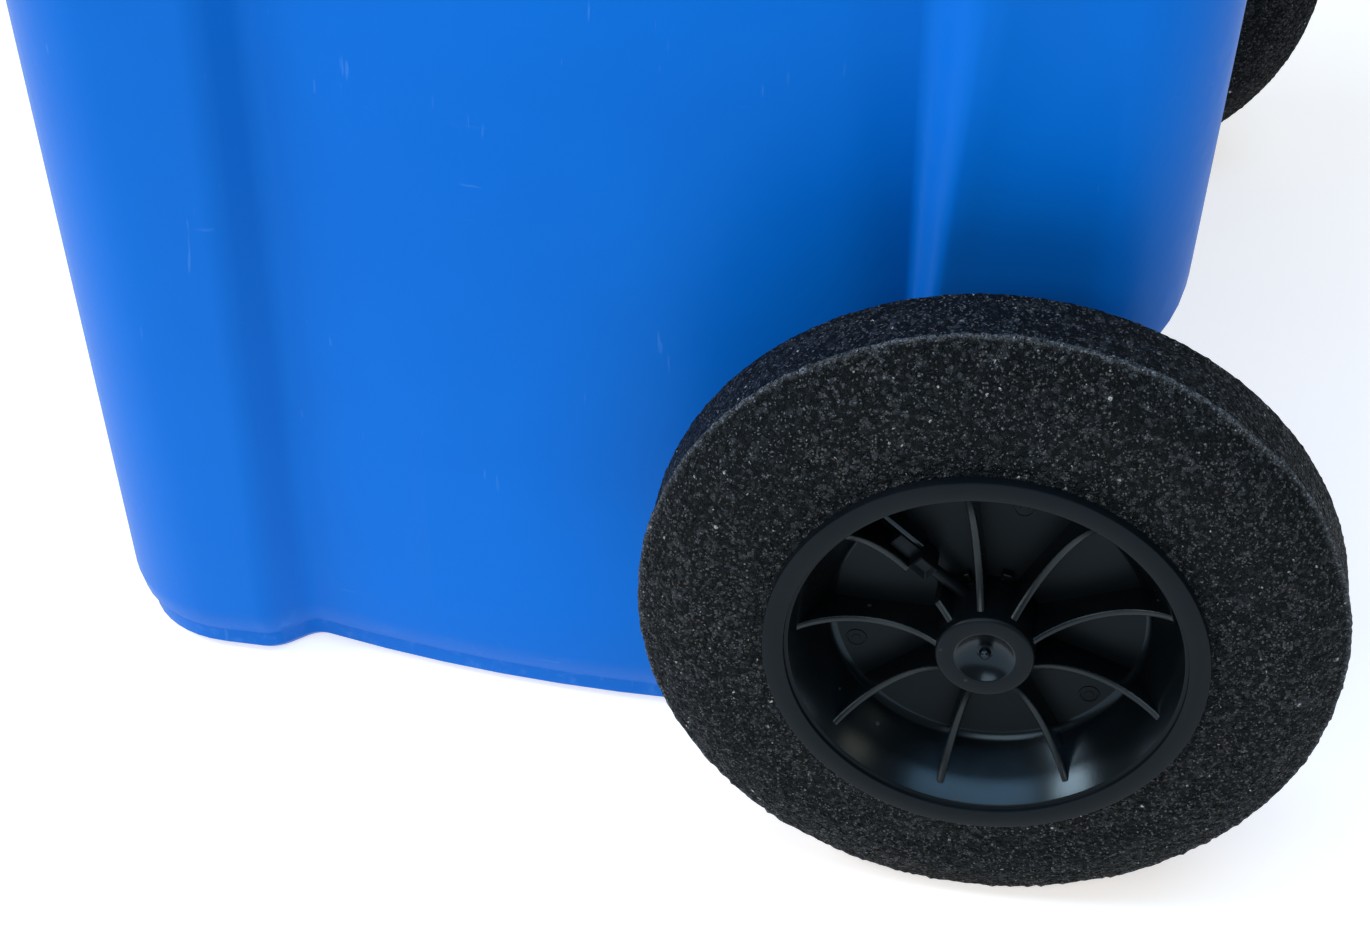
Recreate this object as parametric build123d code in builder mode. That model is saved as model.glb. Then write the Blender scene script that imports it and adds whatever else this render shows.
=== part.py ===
import os
from math import atan, cos, radians, sin

from build123d import *

# Two-wheeled refuse bin of about 120 litres. Millimetres, +Z up, front towards -Y.
# The origin is on the ground, under the middle of the bin's overall box.

# ---------------------------------------------------------------- overall sizes
OVERALL_WIDTH = 480.0
OVERALL_DEPTH = 550.0
RIM_TOP_Z = 890.0
WALL = 4.0
RUNNING = 0.05            # radial clearance of a shaft in its bore
SIDE_PLAY = 2.0           # gap on each side of a hinge knuckle
OVERLAP = 1.0             # how far a joined or cutting shape runs past its neighbour
OVERCUT = 60.0            # how far the recess cutter reaches outside the tub
CAVITY_RISE = 5.0         # cavity cutter above the rim top

# ---------------------------------------------------------------- tub
BASE_HALF_WIDTH = 158.0   # column face at the ground
BASE_FRONT_REACH = 279.5  # axle to front wall at the ground
BASE_REAR_REACH = 37.7    # axle to rear wall at the ground
AXLE_SETBACK = 180.0      # axle to the rearmost point of the bin
RIM_OVERHANG = 20.0       # rim beyond the wall
RIM_THICKNESS = 4.0
RIM_SKIRT_HEIGHT = 28.0
RIM_CORNER_R = 62.0
COLLAR_OUTSET = 3.0
COLLAR_DROP = 85.0        # collar's lower edge below the rim top
COLLAR_RAMP = 14.0
FRONT_CORNER_R = 34.0
REAR_CORNER_R = 30.0
PLINTH_INSET = 3.8
PLINTH_HEIGHT = 8.5
PLINTH_EDGE = 3.0
PLINTH_BLEND = 11.0       # height over which the wall curves in to the plinth

# side wall: two corner columns, and between them a panel that bows outwards
VALLEY_DEPTH = 10.0
PANEL_SAGITTA = 9.0
FRONT_VALLEY_REACH = 213.0
REAR_VALLEY_REACH = 31.0
FLANK_WIDTH = 20.0
VALLEY_LEAN = 0.018       # valleys come forward this much per unit of height
REAR_FLANK_LOW_Z = 150.0
REAR_FLANK_HIGH_Z = 300.0
REAR_FLANK_LOW_WIDTH = 9.0
REAR_FLANK_LOW_DEPTH = 6.0

# recess under the rear of the tub, where the axle runs
RECESS_RISE = 57.0        # recess top above the axle
RECESS_FORE = 36.0
RECESS_EDGE_R = 22.0
RECESS_ROOT_R = 14.0
BRACKET_THICKNESS = 8.0
BRACKET_EYE = 11.0        # bracket's nose beyond the axle's surface
BRACKET_INSET = 4.0       # outer bracket's face inside the column face
INNER_BRACKET_X = 60.0

# comb under the front rim
COMB_RIB = 3.5
COMB_PITCH = 40.0
COMB_COUNT = 9

# ---------------------------------------------------------------- handles and hinge
HINGE_DROP = 5.0          # hinge axis below the rim top
HINGE_EYE_R = 16.0
HANDLE_GRIP_R = 15.0
CHEEK = 12.0
KNUCKLE_WIDTH = 28.0
INNER_CHEEK_X = 56.0
OUTER_ARM_INSET = 16.0    # outer arm's face inside the overall half width
PIN_R = 6.0
PIN_HEAD_R = 10.0
PIN_HEAD = 4.0
PIN_SEAT = 6.0            # length of pin in the outer cheek
PIN_BORE_SPARE = 3.0      # bore beyond the pin's end
ARM_ROOT_DROP = 73.0
ARM_TOP_DROP = 2.0        # arm's flat top below the rim top
ARM_CREST = 10.0          # arm's flat top beyond the lid's rear edge

# ---------------------------------------------------------------- lid
LID_WALL = 3.0
LID_GAP = 2.0             # lid skirt to rim, at the front
LID_SIDE_GAP = 4.0
LID_SEAT = 0.5            # lid plate above the rim top
LID_SKIRT_HEIGHT = 14.5
LID_CORNER_R = 66.0
LID_LEAST_R = 10.0
LID_REAR_CLEAR = 37.0     # lid's rear edge to the hinge axis
RIM_REAR_CLEAR = 32.0     # rim's rear edge to the lid's rear edge
SKIRT_REAR_CLEAR = 2.0    # end of the lid skirt to the rim's rear edge
DOME_HOLLOW_LIP = 0.1
KNUCKLE_ROOT = 2.0        # knuckle's root behind the rim's rear edge
KNUCKLE_RISE = 12.0
KNUCKLE_CREST = 14.0
DOME_STEPS = ((0.0, 20.0), (13.0, 24.0), (26.0, 34.0), (35.0, 52.0), (40.0, 80.0), (42.0, 120.0))

# ---------------------------------------------------------------- axle and wheels
AXLE_Z = 100.0
AXLE_R = 10.0
AXLE_CHAMFER = 1.0
AXLE_END_GAP = 1.0
WHEEL_R = AXLE_Z
TYRE_GAP = 19.0           # column face at axle height to the hub's inner flange
HUB_WIDTH = 50.0
DRUM_R = 56.0
FLANGE = 3.5
FLANGE_R = DRUM_R + 6.0
INNER_FLANGE_R = DRUM_R + 4.0
GROOVE_R = DRUM_R - 1.0
GROOVE_DEPTH = 1.5
BOWL_DEPTH = 21.0
WEB_R = DRUM_R - 11.5
WEB = 3.5
WEB_STEP = 2.0            # thickening where the web meets the drum
BOWL_SWELL = (0.55, 1.6)  # middle of the bowl's arc: share of its depth, and rise off its chord
BOSS_R = AXLE_R + 3.8
BOSS_EDGE = 0.8
BOSS_DRAFT = 0.6          # boss is this much larger at its root
BOSS_SINK = 2.0           # boss face behind the flange face
BOSS_DISH_R = 8.5
BOSS_DISH_SLOPE = 1.5
BOSS_DISH = 3.0
BOSS_NUB_R = 1.8
BOSS_NUB = 2.0
BOSS_FACE = 4.0
BOSS_TAIL = 4.0           # boss beyond the hub's inner flange
BOSS_TAIL_R = BOSS_R + 2.0
BOSS_TAIL_ROOT_R = BOSS_R + 3.0
RIB_COUNT = 9
RIB_PHASE = 20.5
RIB = 2.4
RIB_MIDDLE_X = -12.5      # lowest point of a rib's hollow edge
RIB_MIDDLE_R = WEB_R - 11.5
RIB_END_X = -6.0
RIB_ROOT_DROP = 2.5       # rib's edge below the boss face
RIB_FOOT = (0.7, 5.0)     # rib's outer foot: share of the bowl's depth, and reach past the web
SLEEVE_R = AXLE_R + 4.0
SLEEVE_PLAY = 0.5
TYRE_SIDE_R = FLANGE_R + 14.0
TYRE_SHOULDER = 9.5
TYRE_CROWN = (0.42, 8.0)  # middle of the shoulder's arc: share of the shoulder, and drop from the tread
TYRE_SIDE_SINK = 1.5      # flat side behind the flange's back
TYRE_INNER_SINK = 1.0
TYRE_LIP = 0.5            # ring of rubber showing round the flange

# axle latch: a plunger in the hub whose pin runs in a groove of the axle
LATCH_RIB = 3             # the latch lies beside this rib
LATCH_ANGLE = RIB_PHASE + LATCH_RIB * 360 / RIB_COUNT
LATCH_WIDTH = 5.2
LATCH_SIDE_GAP = 0.2
LATCH_OFFSET = -(RIB / 2 + LATCH_SIDE_GAP + LATCH_WIDTH / 2)
LATCH_DEPTH = 15.0        # pin centre behind the flange face
LATCH_PIN_R = 1.75
GROOVE_CORE_R = AXLE_R - 4.0
GROOVE_WIDTH = 4.6
LATCH_PIN_TIP = GROOVE_CORE_R - 0.1
LATCH_BLOCK = (BOSS_R + 11.7, BOSS_R + 18.2)
LATCH_RIB_GAP = (BOSS_R + 5.5, BOSS_R + 16.7)
LATCH_BAR_END = WEB_R - 6.0
LATCH_BAR_ROOT = 2.0      # bar's start inside the block
LATCH_PLAY = 0.15
LATCH_FLOOR_CLEAR = 1.0   # latch above the hub's web
LATCH_BLOCK_HEIGHT = 8.5
LATCH_BAR_HEIGHT = 7.0
GUIDE = 1.5
GUIDE_HEIGHT = 6.5

# ---------------------------------------------------------------- places worked out from the sizes
HINGE_Y = OVERALL_DEPTH / 2 - HINGE_EYE_R
HINGE_Z = RIM_TOP_Z - HINGE_DROP
AXLE_Y = OVERALL_DEPTH / 2 - AXLE_SETBACK
TOP_HALF_WIDTH = OVERALL_WIDTH / 2 - LID_WALL - LID_SIDE_GAP - RIM_OVERHANG
RIM_HALF_WIDTH = TOP_HALF_WIDTH + RIM_OVERHANG
RIM_FRONT_Y = -OVERALL_DEPTH / 2 + LID_WALL + LID_GAP
FRONT_TOP_Y = RIM_FRONT_Y + RIM_OVERHANG
LID_REAR_Y = HINGE_Y - LID_REAR_CLEAR
RIM_REAR_Y = LID_REAR_Y - RIM_REAR_CLEAR
REAR_TOP_Y = RIM_REAR_Y - RIM_OVERHANG
BASE_FRONT_Y = AXLE_Y - BASE_FRONT_REACH
BASE_REAR_Y = AXLE_Y + BASE_REAR_REACH
RECESS_TOP_Z = AXLE_Z + RECESS_RISE
BRACKET_R = AXLE_R + BRACKET_EYE
LID_PLATE_Z = RIM_TOP_Z + LID_SEAT
OUTER_ARM_X = OVERALL_WIDTH / 2 - OUTER_ARM_INSET - CHEEK
OUTER_CHEEK_X = INNER_CHEEK_X + CHEEK + 2 * SIDE_PLAY + KNUCKLE_WIDTH


def between(z, low, high):
    """Value at height z on the straight line from low, at the ground, to high, at the rim top."""
    return low + (high - low) * z / RIM_TOP_Z


def column_x(z):
    return between(z, BASE_HALF_WIDTH, TOP_HALF_WIDTH)


HUB_FACE_X = column_x(AXLE_Z) + TYRE_GAP + HUB_WIDTH
OUTER_BRACKET_X = column_x(AXLE_Z) - BRACKET_INSET - BRACKET_THICKNESS
AXLE_END_X = HUB_FACE_X - BOSS_SINK - BOSS_DISH - BOSS_FACE - AXLE_END_GAP


def rear_flank(z):
    """Width and depth of the step from the side panel up to the rear column."""
    share = min(max((z - REAR_FLANK_LOW_Z) / (REAR_FLANK_HIGH_Z - REAR_FLANK_LOW_Z), 0), 1)
    width = REAR_FLANK_LOW_WIDTH + share * (FLANK_WIDTH - REAR_FLANK_LOW_WIDTH)
    depth = REAR_FLANK_LOW_DEPTH + share * (VALLEY_DEPTH - REAR_FLANK_LOW_DEPTH)
    return width, depth


def tub_section(z, inset):
    """Horizontal section of the tub's outer skin at height z, moved inwards by inset."""
    x = column_x(z) - inset
    front = between(z, BASE_FRONT_Y, FRONT_TOP_Y) + inset
    rear = between(z, BASE_REAR_Y, REAR_TOP_Y) - inset
    front_r = max(FRONT_CORNER_R - inset, WALL)
    rear_r = max(REAR_CORNER_R - inset, WALL)
    lean = VALLEY_LEAN * z
    valley_1 = AXLE_Y - FRONT_VALLEY_REACH - lean
    valley_2 = AXLE_Y - REAR_VALLEY_REACH - lean
    flank_2, depth_2 = rear_flank(z)
    middle = (valley_1 + valley_2) / 2
    slope = 2 * atan(2 * PANEL_SAGITTA / (valley_2 - valley_1))
    x_1 = x - VALLEY_DEPTH
    x_2 = x - depth_2
    out = (sin(slope), cos(slope))
    back = (-sin(slope), cos(slope))
    corner = 1 - cos(radians(45))
    with BuildSketch(Plane.XY.offset(z)) as section:
        with BuildLine():
            Line((0, front), (x - front_r, front))
            ThreePointArc((x - front_r, front), (x - front_r * corner, front + front_r * corner),
                          (x, front + front_r))
            Line((x, front + front_r), (x, valley_1 - FLANK_WIDTH))
            Spline((x, valley_1 - FLANK_WIDTH), (x_1, valley_1), tangents=[(0, 1), out])
            ThreePointArc((x_1, valley_1), ((x_1 + x_2) / 2 + PANEL_SAGITTA, middle), (x_2, valley_2))
            Spline((x_2, valley_2), (x, valley_2 + flank_2), tangents=[back, (0, 1)])
            Line((x, valley_2 + flank_2), (x, rear - rear_r))
            ThreePointArc((x, rear - rear_r), (x - rear_r * corner, rear - rear_r * corner),
                          (x - rear_r, rear))
            Line((x - rear_r, rear), (0, rear))
            mirror(about=Plane.YZ)
        make_face()
    return section.sketch


def tub_levels(extra, bottom, top):
    """Heights and insets of the sections that the tub is lofted through, with a further inset."""
    collar = RIM_TOP_Z - COLLAR_DROP
    blend = PLINTH_HEIGHT + PLINTH_BLEND
    levels = ((bottom, PLINTH_INSET + PLINTH_EDGE), (bottom + PLINTH_EDGE, PLINTH_INSET),
              (PLINTH_HEIGHT + bottom, PLINTH_INSET),
              (PLINTH_HEIGHT + bottom + PLINTH_BLEND / 3, PLINTH_INSET / 3), (blend + bottom, 0),
              (REAR_FLANK_LOW_Z, 0), (REAR_FLANK_HIGH_Z, 0), (collar, 0),
              (collar + COLLAR_RAMP, -COLLAR_OUTSET), (top, -COLLAR_OUTSET))
    return [tub_section(z, inset + extra) for z, inset in levels]


def recess_profile(grow):
    """Section of the axle recess across the bin, made larger by grow."""
    fore = AXLE_Y - RECESS_FORE - grow
    top = RECESS_TOP_Z + grow
    edge = RECESS_EDGE_R - grow
    root = RECESS_ROOT_R + grow
    rear = between(RECESS_TOP_Z + RECESS_EDGE_R, BASE_REAR_Y, REAR_TOP_Y) - grow
    beyond = rear + OVERCUT
    below = -OVERCUT
    corner = 1 - cos(radians(45))
    with BuildSketch(Plane.YZ) as profile:
        with BuildLine():
            Line((fore, below), (fore, top - root))
            ThreePointArc((fore, top - root), (fore + root * corner, top - root * corner), (fore + root, top))
            Line((fore + root, top), (rear - edge, top))
            ThreePointArc((rear - edge, top), (rear - edge * corner, top + edge * corner), (rear, top + edge))
            Polyline((rear, top + edge), (beyond, top + edge), (beyond, below), (fore, below))
        make_face()
    return profile.sketch


def rim_outline(z, inset):
    """Rounded rectangle of the rim at height z, moved inwards by inset."""
    width = 2 * (RIM_HALF_WIDTH - inset)
    depth = RIM_REAR_Y - RIM_FRONT_Y - 2 * inset
    with BuildSketch(Plane.XY.offset(z)) as outline:
        with Locations((0, (RIM_REAR_Y + RIM_FRONT_Y) / 2)):
            RectangleRounded(width, depth, RIM_CORNER_R - inset)
    return outline.sketch


def lid_outline(z, inset):
    """Rounded rectangle of the lid at height z, moved inwards by inset."""
    front = -OVERALL_DEPTH / 2
    with BuildSketch(Plane.XY.offset(z)) as outline:
        with Locations((0, (LID_REAR_Y + front) / 2)):
            RectangleRounded(OVERALL_WIDTH - 2 * inset, LID_REAR_Y - front - 2 * inset,
                             max(LID_CORNER_R - inset / 2, LID_LEAST_R))
    return outline.sketch


def arm_profile(x):
    """Side view of a handle arm, drawn on the plane of its inner face."""
    with BuildSketch(Plane.YZ.offset(x)) as profile:
        with BuildLine():
            Polyline((REAR_TOP_Y - WALL, RIM_TOP_Z - ARM_TOP_DROP),
                     (LID_REAR_Y + ARM_CREST, RIM_TOP_Z - ARM_TOP_DROP),
                     (HINGE_Y, HINGE_Z + HINGE_EYE_R), (HINGE_Y, HINGE_Z - HINGE_EYE_R),
                     (REAR_TOP_Y - WALL, RIM_TOP_Z - ARM_ROOT_DROP), close=True)
        make_face()
        with Locations((HINGE_Y, HINGE_Z)):
            Circle(HINGE_EYE_R)
    return profile.sketch


# ---------------------------------------------------------------- body
with BuildPart() as cavity:
    loft(sections=tub_levels(WALL, WALL, RIM_TOP_Z + CAVITY_RISE), ruled=True)
    extrude(recess_profile(WALL), amount=OVERALL_WIDTH, both=True, mode=Mode.SUBTRACT)

with BuildPart() as body:
    loft(sections=tub_levels(0, 0, RIM_TOP_Z - RIM_THICKNESS), ruled=True)
    extrude(recess_profile(0), amount=OVERALL_WIDTH, both=True, mode=Mode.SUBTRACT)
    # rim: a flat top with a skirt around it
    extrude(rim_outline(RIM_TOP_Z - RIM_THICKNESS, 0), amount=RIM_THICKNESS)
    with BuildSketch(Plane.XY.offset(RIM_TOP_Z - RIM_SKIRT_HEIGHT)) as skirt:
        add(rim_outline(RIM_TOP_Z - RIM_SKIRT_HEIGHT, 0))
        add(rim_outline(RIM_TOP_Z - RIM_SKIRT_HEIGHT, WALL), mode=Mode.SUBTRACT)
    extrude(amount=RIM_SKIRT_HEIGHT)
    # comb of ribs between the front skirt and the wall
    with BuildSketch(Plane.XY.offset(RIM_TOP_Z - RIM_SKIRT_HEIGHT)):
        with GridLocations(COMB_PITCH, 0, COMB_COUNT, 1):
            with Locations((0, RIM_FRONT_Y + RIM_OVERHANG / 2 + OVERLAP)):
                Rectangle(COMB_RIB, RIM_OVERHANG)
    extrude(amount=RIM_SKIRT_HEIGHT - OVERLAP)
    # handle arms, hinge cheeks and grips
    for side in (-1, 1):
        for inner_x in (INNER_CHEEK_X, OUTER_CHEEK_X, OUTER_ARM_X):
            extrude(arm_profile(side * inner_x), amount=side * CHEEK)
        with BuildSketch(Plane.YZ.offset(side * (OUTER_CHEEK_X + CHEEK / 2))):
            with Locations((HINGE_Y, HINGE_Z)):
                Circle(HANDLE_GRIP_R)
        extrude(amount=side * (OUTER_ARM_X - OUTER_CHEEK_X))
    # brackets that carry the axle
    for side in (-1, 1):
        for inner_x in (INNER_BRACKET_X, OUTER_BRACKET_X):
            with BuildSketch(Plane.YZ.offset(side * inner_x)):
                with Locations((AXLE_Y, AXLE_Z)):
                    Circle(BRACKET_R)
                with BuildLine():
                    Polyline((AXLE_Y - RECESS_FORE - OVERLAP, AXLE_Z - BRACKET_R),
                             (AXLE_Y, AXLE_Z - BRACKET_R), (AXLE_Y + BRACKET_R, AXLE_Z),
                             (AXLE_Y + BRACKET_R, RECESS_TOP_Z + OVERLAP),
                             (AXLE_Y - RECESS_FORE - OVERLAP, RECESS_TOP_Z + OVERLAP), close=True)
                make_face()
            extrude(amount=side * BRACKET_THICKNESS)
    add(cavity.part, mode=Mode.SUBTRACT)
    # bores for the axle and for the hinge pins
    with BuildSketch(Plane.YZ):
        with Locations((AXLE_Y, AXLE_Z)):
            Circle(AXLE_R + RUNNING)
    extrude(amount=OVERALL_WIDTH / 2, both=True, mode=Mode.SUBTRACT)
    with BuildSketch(Plane.YZ):
        with Locations((HINGE_Y, HINGE_Z)):
            Circle(PIN_R + RUNNING)
    extrude(amount=OUTER_CHEEK_X + PIN_SEAT + PIN_BORE_SPARE, both=True, mode=Mode.SUBTRACT)
body.part.label = "body"

# ---------------------------------------------------------------- lid
dome_levels = [(LID_PLATE_Z + LID_WALL + rise, inset) for rise, inset in DOME_STEPS]
with BuildPart() as dome_hollow:
    loft(sections=[lid_outline(z - LID_WALL, inset + LID_WALL) for z, inset in dome_levels])
    extrude(lid_outline(LID_PLATE_Z + DOME_HOLLOW_LIP, dome_levels[0][1] + LID_WALL), amount=-OVERLAP)

with BuildPart() as lid:
    extrude(lid_outline(LID_PLATE_Z, 0), amount=LID_WALL)
    loft(sections=[lid_outline(z, inset) for z, inset in dome_levels])
    add(dome_hollow.part, mode=Mode.SUBTRACT)
    with BuildSketch(Plane.XY.offset(LID_PLATE_Z)) as lid_skirt:
        add(lid_outline(LID_PLATE_Z, 0))
        add(lid_outline(LID_PLATE_Z, LID_WALL), mode=Mode.SUBTRACT)
        with Locations((0, LID_REAR_Y)):
            Rectangle(OVERALL_WIDTH, 2 * (RIM_REAR_CLEAR - SKIRT_REAR_CLEAR), mode=Mode.SUBTRACT)
    extrude(amount=-LID_SKIRT_HEIGHT)
    for side in (-1, 1):
        with BuildSketch(Plane.YZ.offset(side * (INNER_CHEEK_X + CHEEK + SIDE_PLAY))):
            with BuildLine():
                Polyline((RIM_REAR_Y - KNUCKLE_ROOT, LID_PLATE_Z),
                         (RIM_REAR_Y - KNUCKLE_ROOT, LID_PLATE_Z + KNUCKLE_RISE),
                         (LID_REAR_Y, LID_PLATE_Z + KNUCKLE_CREST), (HINGE_Y, HINGE_Z + HINGE_EYE_R),
                         (HINGE_Y, HINGE_Z - HINGE_EYE_R), (LID_REAR_Y + KNUCKLE_ROOT, LID_PLATE_Z),
                         close=True)
            make_face()
            with Locations((HINGE_Y, HINGE_Z)):
                Circle(HINGE_EYE_R)
                Circle(PIN_R + RUNNING, mode=Mode.SUBTRACT)
        extrude(amount=side * KNUCKLE_WIDTH)
lid.part.label = "lid"

# ---------------------------------------------------------------- hinge pins
pins = {}
for side, name in ((-1, "hinge_pin_left"), (1, "hinge_pin_right")):
    with BuildPart() as pin:
        with BuildSketch(Plane.YZ.offset(side * INNER_CHEEK_X)):
            with Locations((HINGE_Y, HINGE_Z)):
                Circle(PIN_HEAD_R)
        extrude(amount=-side * PIN_HEAD)
        with BuildSketch(Plane.YZ.offset(side * INNER_CHEEK_X)):
            with Locations((HINGE_Y, HINGE_Z)):
                Circle(PIN_R)
        extrude(amount=side * (OUTER_CHEEK_X + PIN_SEAT - INNER_CHEEK_X))
    pin.part.label = name
    pins[name] = pin.part

# ---------------------------------------------------------------- axle
with BuildPart() as axle:
    with BuildSketch(Plane.YZ):
        with Locations((AXLE_Y, AXLE_Z)):
            Circle(AXLE_R)
    extrude(amount=AXLE_END_X, both=True)
    chamfer(axle.edges().filter_by(GeomType.CIRCLE), AXLE_CHAMFER)
    for side in (-1, 1):
        with BuildSketch(Plane.YZ.offset(side * (HUB_FACE_X - LATCH_DEPTH) - GROOVE_WIDTH / 2)):
            with Locations((AXLE_Y, AXLE_Z)):
                Circle(AXLE_R + OVERLAP)
                Circle(GROOVE_CORE_R, mode=Mode.SUBTRACT)
        extrude(amount=GROOVE_WIDTH, mode=Mode.SUBTRACT)
axle.part.label = "axle"

# ---------------------------------------------------------------- wheel hub, about its own X axis
# Its flange face is at x = 0 and x points away from the bin. Y in a half section is the radius.
boss_x = -BOSS_SINK
dish_x = boss_x - BOSS_DISH
bore_x = dish_x - BOSS_FACE
web_x = -BOWL_DEPTH
rib_x = boss_x - RIB_ROOT_DROP
back_x = web_x - WEB - WEB_STEP
tail_x = -HUB_WIDTH - BOSS_TAIL
swell_x = web_x * BOWL_SWELL[0]
swell_r = (WEB_R + GROOVE_R) / 2 + BOWL_SWELL[1]
inner_flange_x = FLANGE - HUB_WIDTH
latch_dir = (0, cos(radians(LATCH_ANGLE)), sin(radians(LATCH_ANGLE)))
latch_plane = Plane(origin=(-LATCH_DEPTH, 0, 0), x_dir=latch_dir, z_dir=(1, 0, 0))
guide_offset = LATCH_OFFSET - LATCH_WIDTH / 2 - LATCH_PLAY - GUIDE / 2
pin_plane = Plane(origin=latch_plane.from_local_coords(Vector(LATCH_PIN_TIP, LATCH_OFFSET, 0)),
                  x_dir=(1, 0, 0), z_dir=latch_dir)

with BuildPart() as rib:
    with BuildSketch(Plane.XY.offset(-RIB / 2)):
        with BuildLine():
            ThreePointArc((rib_x, BOSS_R - OVERLAP), (RIB_MIDDLE_X, RIB_MIDDLE_R), (RIB_END_X, DRUM_R - RIB))
            Polyline((RIB_END_X, DRUM_R - RIB), (web_x * RIB_FOOT[0], WEB_R + RIB_FOOT[1]),
                     (web_x - OVERLAP, WEB_R - OVERLAP), (web_x - OVERLAP, BOSS_R - OVERLAP),
                     (rib_x, BOSS_R - OVERLAP))
        make_face()
    extrude(amount=RIB)

with BuildPart() as hub:
    with BuildSketch(Plane.XY):
        with BuildLine():
            Polyline((dish_x, 0), (dish_x, BOSS_DISH_R - BOSS_DISH_SLOPE), (boss_x, BOSS_DISH_R),
                     (boss_x, BOSS_R - BOSS_EDGE), (boss_x - BOSS_EDGE, BOSS_R),
                     (web_x, BOSS_R + BOSS_DRAFT), (web_x, WEB_R))
            ThreePointArc((web_x, WEB_R), (swell_x, swell_r), (-GROOVE_DEPTH, GROOVE_R))
            Polyline((-GROOVE_DEPTH, GROOVE_R), (-GROOVE_DEPTH, DRUM_R), (0, DRUM_R), (0, FLANGE_R),
                     (-FLANGE, FLANGE_R), (-FLANGE, DRUM_R), (inner_flange_x, DRUM_R),
                     (inner_flange_x, INNER_FLANGE_R), (-HUB_WIDTH, INNER_FLANGE_R),
                     (-HUB_WIDTH, DRUM_R - WEB), (back_x, DRUM_R - WEB), (back_x, WEB_R + WEB_STEP),
                     (web_x - WEB, WEB_R - OVERLAP), (web_x - WEB, BOSS_TAIL_ROOT_R), (tail_x, BOSS_TAIL_R),
                     (tail_x, AXLE_R + RUNNING), (bore_x, AXLE_R + RUNNING), (bore_x, 0), (dish_x, 0))
        make_face()
    revolve(axis=Axis.X)
    with BuildSketch(Plane.YZ.offset(dish_x - OVERLAP)):
        Circle(BOSS_NUB_R)
    extrude(amount=BOSS_NUB + OVERLAP)
    for index in range(RIB_COUNT):
        add(rib.part, rotation=(RIB_PHASE + index * 360 / RIB_COUNT, 0, 0))
    # the latch's rib is open where the latch block slides
    with BuildSketch(latch_plane.offset(LATCH_DEPTH - BOWL_DEPTH)):
        with Locations((sum(LATCH_RIB_GAP) / 2, 0)):
            Rectangle(LATCH_RIB_GAP[1] - LATCH_RIB_GAP[0], 2 * RIB)
    extrude(amount=BOWL_DEPTH, mode=Mode.SUBTRACT)
    # the latch slides between that rib and one guide wall
    with BuildSketch(latch_plane.offset(LATCH_DEPTH - BOWL_DEPTH - OVERLAP)):
        with Locations(((LATCH_BLOCK[1] + WEB_R) / 2 + OVERLAP, guide_offset)):
            Rectangle(WEB_R - LATCH_BLOCK[1], GUIDE)
    extrude(amount=GUIDE_HEIGHT + OVERLAP)
    # hole in the boss for the latch pin
    with BuildSketch(pin_plane):
        Circle(LATCH_PIN_R + LATCH_PLAY)
    extrude(amount=LATCH_BLOCK[0] - LATCH_PIN_TIP, mode=Mode.SUBTRACT)

# ---------------------------------------------------------------- latch plunger, in the hub's own frame
with BuildPart() as latch:
    with BuildSketch(latch_plane.offset(LATCH_FLOOR_CLEAR - (BOWL_DEPTH - LATCH_DEPTH))):
        with Locations(((LATCH_BLOCK[0] + LATCH_BLOCK[1]) / 2, LATCH_OFFSET)):
            Rectangle(LATCH_BLOCK[1] - LATCH_BLOCK[0], LATCH_WIDTH)
    extrude(amount=LATCH_BLOCK_HEIGHT)
    with BuildSketch(latch_plane.offset(LATCH_FLOOR_CLEAR - (BOWL_DEPTH - LATCH_DEPTH))):
        with Locations(((LATCH_BLOCK[1] - LATCH_BAR_ROOT + LATCH_BAR_END) / 2, LATCH_OFFSET)):
            Rectangle(LATCH_BAR_END - LATCH_BLOCK[1] + LATCH_BAR_ROOT, LATCH_WIDTH)
    extrude(amount=LATCH_BAR_HEIGHT)
    with BuildSketch(pin_plane):
        Circle(LATCH_PIN_R)
    extrude(amount=LATCH_BLOCK[0] + OVERLAP - LATCH_PIN_TIP)

# ---------------------------------------------------------------- tyre, in the hub's own frame
side_x = -FLANGE - TYRE_SIDE_SINK
crown_x = TYRE_SHOULDER * TYRE_CROWN[0]
crown_r = WHEEL_R - TYRE_CROWN[1]
with BuildPart() as tyre:
    with BuildSketch(Plane.XY):
        with BuildLine():
            Polyline((-FLANGE, DRUM_R), (-FLANGE, FLANGE_R + TYRE_LIP), (side_x, TYRE_SIDE_R))
            ThreePointArc((side_x, TYRE_SIDE_R), (-FLANGE - crown_x, crown_r),
                          (-FLANGE - TYRE_SHOULDER, WHEEL_R))
            Line((-FLANGE - TYRE_SHOULDER, WHEEL_R), (inner_flange_x + TYRE_SHOULDER, WHEEL_R))
            ThreePointArc((inner_flange_x + TYRE_SHOULDER, WHEEL_R), (inner_flange_x + crown_x, crown_r),
                          (inner_flange_x + TYRE_INNER_SINK, TYRE_SIDE_R))
            Polyline((inner_flange_x + TYRE_INNER_SINK, TYRE_SIDE_R), (inner_flange_x, DRUM_R),
                     (-FLANGE, DRUM_R))
        make_face()
    revolve(axis=Axis.X)

# ---------------------------------------------------------------- spacer sleeve, in the hub's own frame
sleeve_start = OUTER_BRACKET_X + BRACKET_THICKNESS + SLEEVE_PLAY - HUB_FACE_X
sleeve_end = tail_x - SLEEVE_PLAY
with BuildPart() as sleeve:
    with BuildSketch(Plane.YZ.offset(sleeve_start)):
        Circle(SLEEVE_R)
        Circle(AXLE_R + RUNNING, mode=Mode.SUBTRACT)
    extrude(amount=sleeve_end - sleeve_start)

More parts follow.
